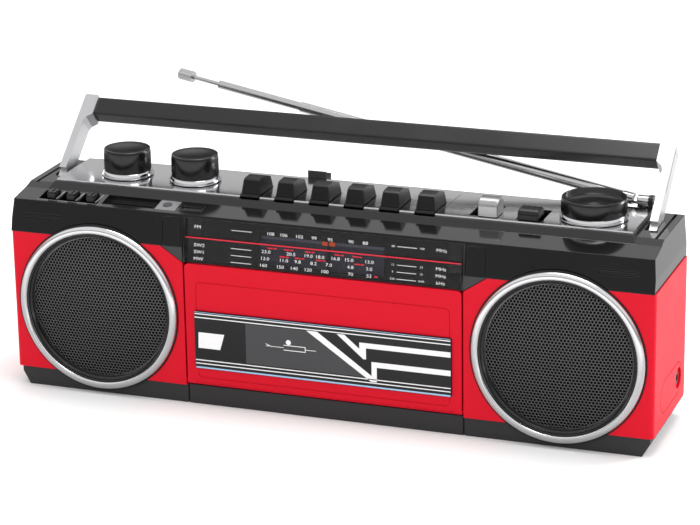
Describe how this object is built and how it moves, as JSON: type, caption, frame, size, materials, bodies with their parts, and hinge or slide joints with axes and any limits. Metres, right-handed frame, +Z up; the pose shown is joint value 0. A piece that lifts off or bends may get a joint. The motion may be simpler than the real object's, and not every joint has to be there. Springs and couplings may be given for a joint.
{
  "type": "portable radio-cassette recorder",
  "caption": "Long low portable radio-cassette recorder with round speakers at each end, a front cassette door, a top control deck, a fold-back carrying handle and a telescopic antenna.",
  "frame": {"origin": "centre of the flat underside", "axes": "+X along the case to its right-hand end, +Y to the rear, +Z up; the front faces -Y"},
  "size_m": [0.372, 0.132, 0.1587],
  "materials": {
    "red_shell": "satin moulded",
    "black_shell": "glossy moulded",
    "dark_base": "fine texture",
    "silver_deck": "satin sheet",
    "chrome_trim": "plated",
    "black_knob": "satin moulded",
    "silver_slide": "brushed",
    "clear_panel": "clear, polished",
    "smoked_panel": "dark acrylic, printed behind",
    "printed_scale": "printed",
    "orange_pointer": "moulded",
    "grille_steel": "black, perforated",
    "speaker_black": "pressed paper and steel",
    "sheet_steel": "zinc plated",
    "brass_wheel": "turned",
    "reel_plastic": "moulded",
    "board_green": "lacquered board",
    "foot_rubber": "matt"
  },
  "bodies": {
    "cabinet": {"front_cabinet": "red_shell", "upper_case": "black_shell", "base_tray": "dark_base", "rear_cover": "dark_base", "deck_plate": "silver_deck", "dial_window": "clear_panel", "dial_scale": "printed_scale", "rubber_feet": "foot_rubber", "speaker_ring_left": "chrome_trim", "speaker_ring_right": "chrome_trim", "speaker_grille_left": "grille_steel", "speaker_grille_right": "grille_steel", "speakers": "speaker_black", "usb_socket": "sheet_steel", "card_socket": "black_shell", "line_jack": "black_knob", "mains_inlet": "black_knob", "mains_transformer": "sheet_steel", "main_board": "board_green", "case_screws": "sheet_steel", "handle_pivots": "sheet_steel", "antenna_bracket": "black_knob", "tape_chassis": "sheet_steel", "drive_motor": "sheet_steel", "battery_contacts": "sheet_steel", "ring_gaskets": "speaker_black"},
    "handle": {"handle_arm_left": "chrome_trim", "handle_arm_right": "chrome_trim", "handle_grip": "black_knob"},
    "door": {"cassette_door": "red_shell", "door_window": "smoked_panel", "cassette_holder": "sheet_steel"},
    "pointer": {"dial_pointer": "orange_pointer"},
    "tuning_control": {"tuning_knob": "black_knob", "tuning_skirt": "chrome_trim"},
    "volume_control": {"volume_knob": "black_knob", "volume_skirt": "chrome_trim"},
    "tone_control": {"tone_knob": "black_knob", "tone_skirt": "chrome_trim"},
    "function_control": {"function_slide": "silver_slide"},
    "band_control": {"band_slide": "black_knob"},
    "supply_reel": {"supply_spindle": "reel_plastic"},
    "takeup_reel": {"takeup_spindle": "reel_plastic"},
    "flywheel": {"capstan_flywheel": "brass_wheel"},
    "pulley": {"motor_pulley": "brass_wheel"},
    "battery_lid": {"battery_door": "dark_base"},
    "antenna_turret": {"antenna_swivel": "black_knob"},
    "antenna_lower": {"antenna_root": "black_knob", "antenna_tube": "chrome_trim"},
    "antenna_mid": {"antenna_middle": "chrome_trim"},
    "antenna_end": {"antenna_tip": "chrome_trim"},
    "pause_key_body": {"pause_key": "black_knob"},
    "stop_key_body": {"stop_key": "black_knob"},
    "forward_key_body": {"forward_key": "black_knob"},
    "rewind_key_body": {"rewind_key": "black_knob"},
    "play_key_body": {"play_key": "black_knob"},
    "record_key_body": {"record_key": "black_knob"},
    "sound_switch_body": {"sound_switch": "black_knob"},
    "mode_switch_body": {"mode_switch": "black_knob"},
    "source_switch_body": {"source_switch": "black_knob"}
  },
  "joints": [
    {"name": "handle_raise", "type": "hinge", "parent": "cabinet", "child": "handle", "pos_m": [0, 0.0058, 0.108], "axis": [1, 0, 0], "range_deg": [0, 49.7]},
    {"name": "door_open", "type": "hinge", "parent": "cabinet", "child": "door", "pos_m": [0, -0.033, 0.014], "axis": [1, 0, 0], "range_deg": [0, 35]},
    {"name": "pointer_travel", "type": "slide", "parent": "cabinet", "child": "pointer", "axis": [1, 0, 0], "range_m": [-0.065, 0.06]},
    {"name": "tuning_turn", "type": "hinge", "parent": "cabinet", "child": "tuning_control", "pos_m": [0.1412, 0.007, 0.12], "axis": [0, 0, -1], "range_deg": [-372, 343]},
    {"name": "volume_turn", "type": "hinge", "parent": "cabinet", "child": "volume_control", "pos_m": [-0.1321, 0.0086, 0.12], "axis": [0, 0, -1], "range_deg": [0, 300]},
    {"name": "tone_turn", "type": "hinge", "parent": "cabinet", "child": "tone_control", "pos_m": [-0.0906, 0.0086, 0.12], "axis": [0, 0, -1], "range_deg": [0, 300]},
    {"name": "pause_press", "type": "hinge", "parent": "cabinet", "child": "pause_key_body", "pos_m": [-0.0497, 0.028, 0.1055], "axis": [1, 0, 0], "range_deg": [0, 6], "stiffness_Nm_per_rad": 0.4, "springref_deg": -11.46},
    {"name": "stop_press", "type": "hinge", "parent": "cabinet", "child": "stop_key_body", "pos_m": [-0.02938, 0.028, 0.1055], "axis": [1, 0, 0], "range_deg": [0, 6], "stiffness_Nm_per_rad": 0.4, "springref_deg": -11.46},
    {"name": "forward_press", "type": "hinge", "parent": "cabinet", "child": "forward_key_body", "pos_m": [-0.00906, 0.028, 0.1055], "axis": [1, 0, 0], "range_deg": [0, 6], "stiffness_Nm_per_rad": 0.4, "springref_deg": -11.46},
    {"name": "rewind_press", "type": "hinge", "parent": "cabinet", "child": "rewind_key_body", "pos_m": [0.01126, 0.028, 0.1055], "axis": [1, 0, 0], "range_deg": [0, 6], "stiffness_Nm_per_rad": 0.4, "springref_deg": -11.46},
    {"name": "play_press", "type": "hinge", "parent": "cabinet", "child": "play_key_body", "pos_m": [0.03158, 0.028, 0.1055], "axis": [1, 0, 0], "range_deg": [0, 6], "stiffness_Nm_per_rad": 0.4, "springref_deg": -11.46},
    {"name": "record_press", "type": "hinge", "parent": "cabinet", "child": "record_key_body", "pos_m": [0.0519, 0.028, 0.1055], "axis": [1, 0, 0], "range_deg": [0, 6], "stiffness_Nm_per_rad": 0.4, "springref_deg": -11.46},
    {"name": "function_travel", "type": "slide", "parent": "cabinet", "child": "function_control", "axis": [0, 1, 0], "range_m": [0, 0.009]},
    {"name": "band_travel", "type": "slide", "parent": "cabinet", "child": "band_control", "axis": [0, 1, 0], "range_m": [0, 0.009]},
    {"name": "sound_travel", "type": "slide", "parent": "cabinet", "child": "sound_switch_body", "axis": [-1, 0, 0], "range_m": [0, 0.0042]},
    {"name": "mode_travel", "type": "slide", "parent": "cabinet", "child": "mode_switch_body", "axis": [-1, 0, 0], "range_m": [0, 0.0042]},
    {"name": "source_travel", "type": "slide", "parent": "cabinet", "child": "source_switch_body", "axis": [-1, 0, 0], "range_m": [0, 0.0042]},
    {"name": "supply_reel_turn", "type": "hinge", "parent": "cabinet", "child": "supply_reel", "pos_m": [-0.02125, -0.015, 0.0459], "axis": [0, 1, 0], "continuous": true},
    {"name": "takeup_reel_turn", "type": "hinge", "parent": "cabinet", "child": "takeup_reel", "pos_m": [0.02125, -0.015, 0.0459], "axis": [0, 1, 0], "continuous": true},
    {"name": "flywheel_turn", "type": "hinge", "parent": "cabinet", "child": "flywheel", "pos_m": [0.028, 0.005, 0.066], "axis": [0, 1, 0], "continuous": true},
    {"name": "pulley_turn", "type": "hinge", "parent": "cabinet", "child": "pulley", "pos_m": [-0.035, 0.004, 0.066], "axis": [0, 1, 0], "continuous": true},
    {"name": "battery_door_open", "type": "hinge", "parent": "cabinet", "child": "battery_lid", "pos_m": [0, 0.0396, 0.0241], "axis": [-1, 0, 0], "range_deg": [0, 90]},
    {"name": "antenna_roll", "type": "hinge", "parent": "cabinet", "child": "antenna_turret", "pos_m": [0.1608, 0.036, 0.1196], "axis": [1, 0, 0], "range_deg": [-48, 8]},
    {"name": "antenna_fold", "type": "hinge", "parent": "antenna_turret", "child": "antenna_lower", "pos_m": [0.1608, 0.036, 0.1196], "axis": [0, 0.5446, -0.8387], "range_deg": [-12.6, 77.4]},
    {"name": "antenna_extend", "type": "slide", "parent": "antenna_lower", "child": "antenna_mid", "axis": [-0.9759, 0.1829, 0.1188], "range_m": [-0.053, 0.125]},
    {"name": "antenna_tip_extend", "type": "slide", "parent": "antenna_mid", "child": "antenna_end", "axis": [-0.9759, 0.1829, 0.1188], "range_m": [-0.0165, 0.165]}
  ],
  "couplings": [
    {"joint": "pointer_travel", "follows": "tuning_turn", "m_per_rad": 0.01},
    {"joint": "pulley_turn", "follows": "flywheel_turn", "ratio": 5.9375}
  ]
}
